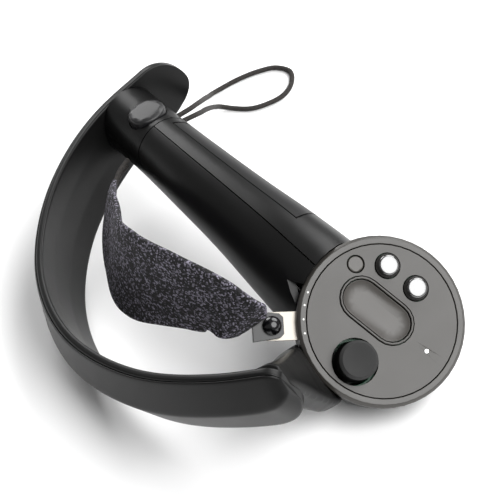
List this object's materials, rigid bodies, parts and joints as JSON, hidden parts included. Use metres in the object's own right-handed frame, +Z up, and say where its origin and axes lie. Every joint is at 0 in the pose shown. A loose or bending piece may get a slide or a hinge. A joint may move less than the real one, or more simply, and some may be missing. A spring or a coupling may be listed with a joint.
{
  "type": "vr motion controller",
  "caption": "Left-hand knuckle-strap motion controller: tilted face with buttons, touchpad and thumbstick, bare handle, tracking halo, hand strap and draw cord.",
  "frame": {"origin": "On the table under the middle of the footprint of the controller as it lies, the draw cord left out", "axes": "+Z up from the table, +Y from the face disc towards the free end of the handle, +X to the side the draw cord leaves from"},
  "size_m": [0.1607, 0.1574, 0.0592],
  "materials": {
    "battery_wrap": "shrink wrap",
    "bezel_plastic": "satin",
    "circuit_board": "solder mask",
    "clear_plastic": "clear",
    "cord_fabric": "braided",
    "dark_steel": "dark satin",
    "face_plastic": "satin",
    "flex_circuit": "polyimide film",
    "gloss_button": "polished",
    "pad_plastic": "satin",
    "shell_plastic": "satin",
    "silicone": "matte",
    "soft_touch": "soft touch",
    "steel": "satin",
    "stick_rubber": "matte",
    "strap_fabric": "heather knit"
  },
  "bodies": {
    "controller": {"face_plate": "face_plastic", "bezel_ring": "bezel_plastic", "status_light_pipe": "clear_plastic", "a_dome_switch": "silicone", "b_dome_switch": "silicone", "system_dome_switch": "silicone", "trackpad_rim": "face_plastic", "trackpad_force_sensor": "flex_circuit", "thumbstick_module": "shell_plastic", "control_board": "circuit_board", "main_board": "circuit_board", "haptic_motor": "steel", "head_shell": "shell_plastic", "head_screw_1": "dark_steel", "head_screw_2": "dark_steel", "head_screw_3": "dark_steel", "trigger_pin": "steel", "trigger_spring": "steel", "handle_palm_shell": "shell_plastic", "handle_finger_shell": "shell_plastic", "finger_sensor_panel": "soft_touch", "finger_sensor_flex": "flex_circuit", "handle_end_cap": "shell_plastic", "cord_lock_spring": "steel", "battery": "battery_wrap", "battery_cradle": "shell_plastic", "halo_inner_shell": "shell_plastic", "halo_outer_cover": "shell_plastic", "halo_sensor_flex": "flex_circuit", "tracking_sensor_1": "clear_plastic", "tracking_sensor_2": "clear_plastic", "tracking_sensor_3": "clear_plastic", "tracking_sensor_4": "clear_plastic", "tracking_sensor_5": "clear_plastic", "tracking_sensor_6": "clear_plastic", "bridge_arm": "shell_plastic", "hand_strap": "strap_fabric", "strap_cord_upper": "cord_fabric", "strap_cord_lower": "cord_fabric", "draw_cord": "cord_fabric"},
    "a_button": {"a_button": "gloss_button"},
    "b_button": {"b_button": "gloss_button"},
    "system_button": {"system_button": "pad_plastic"},
    "trackpad": {"trackpad_surface": "pad_plastic"},
    "stick_rocker": {"stick_gimbal_ring": "steel"},
    "stick_stem": {"thumbstick_stem": "shell_plastic", "thumbstick_skirt": "shell_plastic"},
    "stick_cap": {"thumbstick_cap": "stick_rubber"},
    "trigger": {"trigger": "shell_plastic"},
    "strap_slider": {"strap_bracket": "steel", "slider_carriage": "shell_plastic", "strap_rivet": "dark_steel"},
    "strap_swivel": {"strap_tab": "shell_plastic"},
    "cord_lock": {"cord_lock_button": "shell_plastic"}
  },
  "joints": [
    {"name": "a_button_press", "type": "slide", "parent": "controller", "child": "a_button", "axis": [0.2376, 0.595, -0.7678], "range_m": [0, 0.0008], "stiffness_N_per_m": 700, "springref_m": -0.0006},
    {"name": "b_button_press", "type": "slide", "parent": "controller", "child": "b_button", "axis": [0.2376, 0.595, -0.7678], "range_m": [0, 0.0008], "stiffness_N_per_m": 700, "springref_m": -0.0006},
    {"name": "system_button_press", "type": "slide", "parent": "controller", "child": "system_button", "axis": [0.2376, 0.595, -0.7678], "range_m": [0, 0.0005], "stiffness_N_per_m": 900, "springref_m": -0.0005},
    {"name": "trackpad_press", "type": "slide", "parent": "controller", "child": "trackpad", "axis": [0.2376, 0.595, -0.7678], "range_m": [0, 0.0003], "stiffness_N_per_m": 6000, "springref_m": -0.0002},
    {"name": "stick_roll", "type": "hinge", "parent": "controller", "child": "stick_rocker", "pos_m": [0.00755, -0.056, 0.02021], "axis": [-0.0948, -0.7724, -0.628], "range_deg": [-15, 15], "stiffness_Nm_per_rad": 0.02},
    {"name": "stick_pitch", "type": "hinge", "parent": "stick_rocker", "child": "stick_stem", "pos_m": [0.00755, -0.056, 0.02021], "axis": [0.9667, -0.222, 0.1271], "range_deg": [-15, 15], "stiffness_Nm_per_rad": 0.02},
    {"name": "stick_click", "type": "slide", "parent": "stick_stem", "child": "stick_cap", "axis": [0.2376, 0.595, -0.7678], "range_m": [0, 0.0004], "stiffness_N_per_m": 2500, "springref_m": -0.0004},
    {"name": "trigger_pull", "type": "hinge", "parent": "controller", "child": "trigger", "pos_m": [0.02723, -0.04284, 0.00837], "axis": [0.9667, -0.222, 0.1271], "range_deg": [0, 10], "stiffness_Nm_per_rad": 0.06, "springref_deg": -8.59},
    {"name": "strap_slide", "type": "hinge", "parent": "controller", "child": "strap_slider", "pos_m": [0.02133, -0.05523, 0.02769], "axis": [-0.2376, -0.595, 0.7678], "range_deg": [-15, 2]},
    {"name": "strap_swivel_turn", "type": "hinge", "parent": "strap_slider", "child": "strap_swivel", "pos_m": [-0.00731, -0.03603, 0.0337], "axis": [-0.2376, -0.595, 0.7678], "range_deg": [-15, 15]},
    {"name": "cord_lock_press", "type": "slide", "parent": "controller", "child": "cord_lock", "axis": [0.1001, -0.1289, -0.9866], "range_m": [0, 0.0012], "stiffness_N_per_m": 400, "springref_m": -0.0008}
  ]
}
